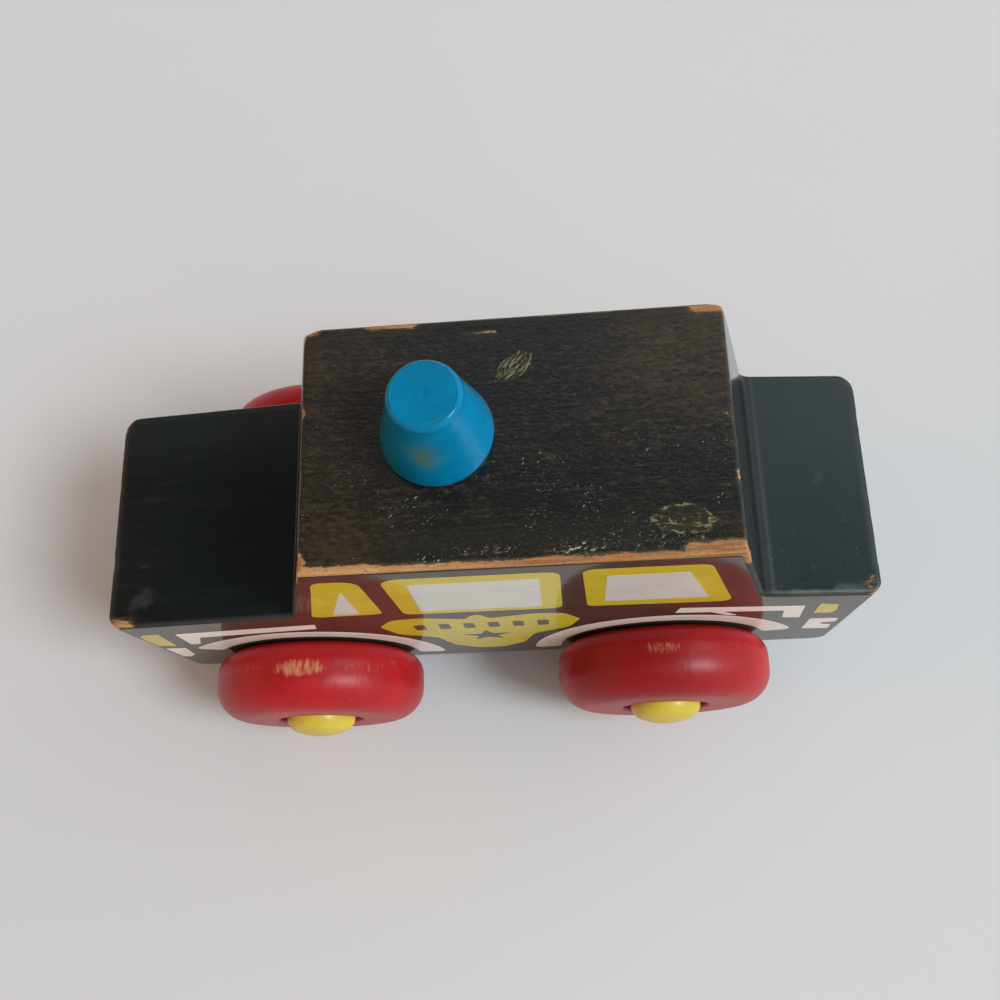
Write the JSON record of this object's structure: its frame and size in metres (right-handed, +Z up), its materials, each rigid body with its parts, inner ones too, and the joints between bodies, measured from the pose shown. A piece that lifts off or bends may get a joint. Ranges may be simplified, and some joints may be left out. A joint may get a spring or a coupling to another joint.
{
  "type": "toy police car",
  "caption": "Wooden toy police car: painted block body with printed sides, free-turning round-edged wheels on glued pegs and a cone beacon on the roof.",
  "frame": {"origin": "floor level under the middle of the block, between the four wheels", "axes": "+X from nose to tail, +Y to the car's right side, +Z up"},
  "size_m": [0.127, 0.0698, 0.095],
  "materials": {
    "black_paint": "worn satin black paint on wood, bare along rubbed edges",
    "side_print": "gloss varnished print",
    "red_paint": "gloss red paint on wood, rubbed on the tread",
    "yellow_paint": "gloss yellow paint on wood",
    "blue_paint": "gloss blue paint on wood, rubbed in places"
  },
  "bodies": {
    "car": {"body_block": "black_paint", "left_side_print": "side_print", "right_side_print": "side_print", "front_left_peg": "yellow_paint", "front_right_peg": "yellow_paint", "rear_left_peg": "yellow_paint", "rear_right_peg": "yellow_paint", "beacon": "blue_paint"},
    "front_left_wheel": {"front_left_wheel": "red_paint"},
    "front_right_wheel": {"front_right_wheel": "red_paint"},
    "rear_left_wheel": {"rear_left_wheel": "red_paint"},
    "rear_right_wheel": {"rear_right_wheel": "red_paint"}
  },
  "joints": [
    {"name": "front_left_roll", "type": "hinge", "parent": "car", "child": "front_left_wheel", "pos_m": [-0.035, -0.02555, 0.0196], "axis": [0, -1, 0], "continuous": true},
    {"name": "front_right_roll", "type": "hinge", "parent": "car", "child": "front_right_wheel", "pos_m": [-0.035, 0.02555, 0.0196], "axis": [0, -1, 0], "continuous": true},
    {"name": "rear_left_roll", "type": "hinge", "parent": "car", "child": "rear_left_wheel", "pos_m": [0.0304, -0.02555, 0.0196], "axis": [0, -1, 0], "continuous": true},
    {"name": "rear_right_roll", "type": "hinge", "parent": "car", "child": "rear_right_wheel", "pos_m": [0.0304, 0.02555, 0.0196], "axis": [0, -1, 0], "continuous": true}
  ]
}
